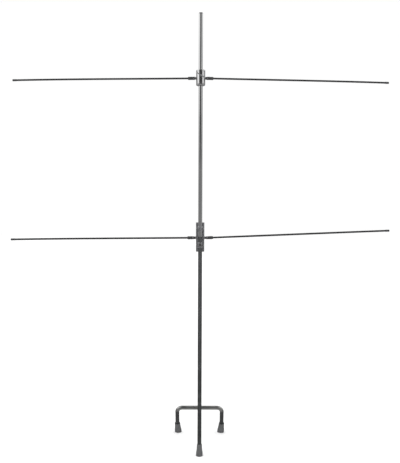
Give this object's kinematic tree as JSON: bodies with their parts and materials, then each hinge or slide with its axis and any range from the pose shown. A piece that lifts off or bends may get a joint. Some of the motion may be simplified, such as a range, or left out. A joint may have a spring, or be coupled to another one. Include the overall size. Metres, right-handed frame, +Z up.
{
  "type": "floor-standing twin-dipole antenna",
  "caption": "Leaning two-piece mast on a footed base, with folding dipole rods on a sliding collar near the top and on a splice bracket half-way up.",
  "frame": {"origin": "middle of the mast foot's sole, on the floor", "axes": "+Z up, +X along the rods to the right as seen from the front, +Y to the back, where the two rear feet stand"},
  "size_m": [1.7809, 0.353, 2.0729],
  "materials": {
    "chromed_tube": "polished",
    "dark_tube": "satin",
    "polished_alloy": "polished",
    "grey_alloy": "satin",
    "dark_rod": "satin",
    "steel": "satin",
    "black_plastic": "satin",
    "grey_rubber": "matte",
    "grey_nylon": "satin",
    "brass": "satin"
  },
  "bodies": {
    "base": {"lower_mast_tube": "dark_tube", "splice_spigot": "steel", "spigot_pin": "steel", "mast_foot_tip": "grey_rubber", "mast_foot_washer": "steel", "rear_leg_frame": "dark_tube", "rear_foot_left_tip": "grey_rubber", "rear_foot_left_washer": "steel", "rear_foot_right_tip": "grey_rubber", "rear_foot_right_washer": "steel", "stay_tube": "dark_tube", "stay_saddle": "grey_alloy", "saddle_screw_upper": "steel", "saddle_screw_lower": "steel", "stay_end_block": "grey_alloy", "stay_pin_front": "steel", "stay_pin_rear": "steel", "crossbar_bolt": "steel"},
    "lower_head": {"splice_body": "grey_alloy", "upper_band": "grey_alloy", "lower_band": "grey_alloy", "upper_band_screw_left": "steel", "upper_band_screw_right": "steel", "lower_band_screw_left": "steel", "lower_band_screw_right": "steel", "lower_lug_left": "steel", "lower_lug_right": "steel"},
    "clamp_pad": {"clamp_pad": "brass"},
    "clamp_knob": {"clamp_knob": "black_plastic", "clamp_screw": "steel"},
    "upper_mast": {"upper_mast_tube": "chromed_tube", "mast_top_cap": "black_plastic"},
    "collar_bushes": {"collar_bush_top": "grey_nylon", "collar_bush_bottom": "grey_nylon"},
    "upper_head": {"upper_collar": "polished_alloy", "upper_lug_left": "steel", "upper_lug_right": "steel"},
    "wing_pad": {"wing_screw_pad": "brass"},
    "wing_screw": {"wing_screw": "steel"},
    "upper_left_arm": {"upper_left_ferrule": "black_plastic", "upper_left_hinge_pin": "steel", "upper_left_rod": "dark_rod", "upper_left_rod_cap": "black_plastic", "upper_left_terminal_screw": "brass"},
    "upper_right_arm": {"upper_right_ferrule": "black_plastic", "upper_right_hinge_pin": "steel", "upper_right_rod": "dark_rod", "upper_right_rod_cap": "black_plastic", "upper_right_terminal_screw": "brass"},
    "lower_left_arm": {"lower_left_ferrule": "black_plastic", "lower_left_hinge_pin": "steel", "lower_left_rod": "dark_rod", "lower_left_rod_cap": "black_plastic", "lower_left_terminal_screw": "brass"},
    "lower_right_arm": {"lower_right_ferrule": "black_plastic", "lower_right_hinge_pin": "steel", "lower_right_rod": "dark_rod", "lower_right_rod_cap": "black_plastic", "lower_right_terminal_screw": "brass"}
  },
  "joints": [
    {"name": "lower_head_turn", "type": "hinge", "parent": "base", "child": "lower_head", "pos_m": [0, 0.10651, 1.01342], "axis": [0, 0.1045, 0.9945], "range_deg": [-60, 60]},
    {"name": "upper_mast_pull", "type": "slide", "parent": "lower_head", "child": "upper_mast", "axis": [0, 0.1045, 0.9945], "range_m": [0, 0.06]},
    {"name": "collar_slide", "type": "slide", "parent": "upper_mast", "child": "collar_bushes", "axis": [0, 0.1045, 0.9945], "range_m": [-0.62, 0.25]},
    {"name": "collar_turn", "type": "hinge", "parent": "collar_bushes", "child": "upper_head", "pos_m": [0, 0.18526, 1.76259], "axis": [0, 0.1045, 0.9945], "continuous": true},
    {"name": "upper_left_fold", "type": "hinge", "parent": "upper_head", "child": "upper_left_arm", "pos_m": [-0.032, 0.18502, 1.7603], "axis": [0, 0.9945, -0.1045], "range_deg": [-5.17, 88.83]},
    {"name": "upper_right_fold", "type": "hinge", "parent": "upper_head", "child": "upper_right_arm", "pos_m": [0.032, 0.18502, 1.7603], "axis": [0, -0.9945, 0.1045], "range_deg": [-4.77, 89.23]},
    {"name": "lower_left_fold", "type": "hinge", "parent": "lower_head", "child": "lower_left_arm", "pos_m": [-0.032, 0.10615, 1.00994], "axis": [0, 0.9945, -0.1045], "range_deg": [-87.28, 6.72]},
    {"name": "lower_right_fold", "type": "hinge", "parent": "lower_head", "child": "lower_right_arm", "pos_m": [0.032, 0.10615, 1.00994], "axis": [0, -0.9945, 0.1045], "range_deg": [-90.48, 3.52]},
    {"name": "clamp_pad_travel", "type": "slide", "parent": "lower_head", "child": "clamp_pad", "axis": [0, -0.9945, 0.1045], "range_m": [0, 0.0015]},
    {"name": "clamp_knob_turn", "type": "hinge", "parent": "clamp_pad", "child": "clamp_knob", "pos_m": [0, 0.08265, 0.97772], "axis": [0, -0.9945, 0.1045], "range_deg": [0, 541]},
    {"name": "wing_pad_travel", "type": "slide", "parent": "upper_head", "child": "wing_pad", "axis": [0, -0.9945, 0.1045], "range_m": [0, 0.0015]},
    {"name": "wing_screw_turn", "type": "hinge", "parent": "wing_pad", "child": "wing_screw", "pos_m": [0, 0.1661, 1.77164], "axis": [0, -0.9945, 0.1045], "range_deg": [0, 541]}
  ],
  "couplings": [
    {"joint": "clamp_knob_turn", "follows": "clamp_pad_travel", "rad_per_m": 6283.2},
    {"joint": "wing_screw_turn", "follows": "wing_pad_travel", "rad_per_m": 6283.2}
  ]
}
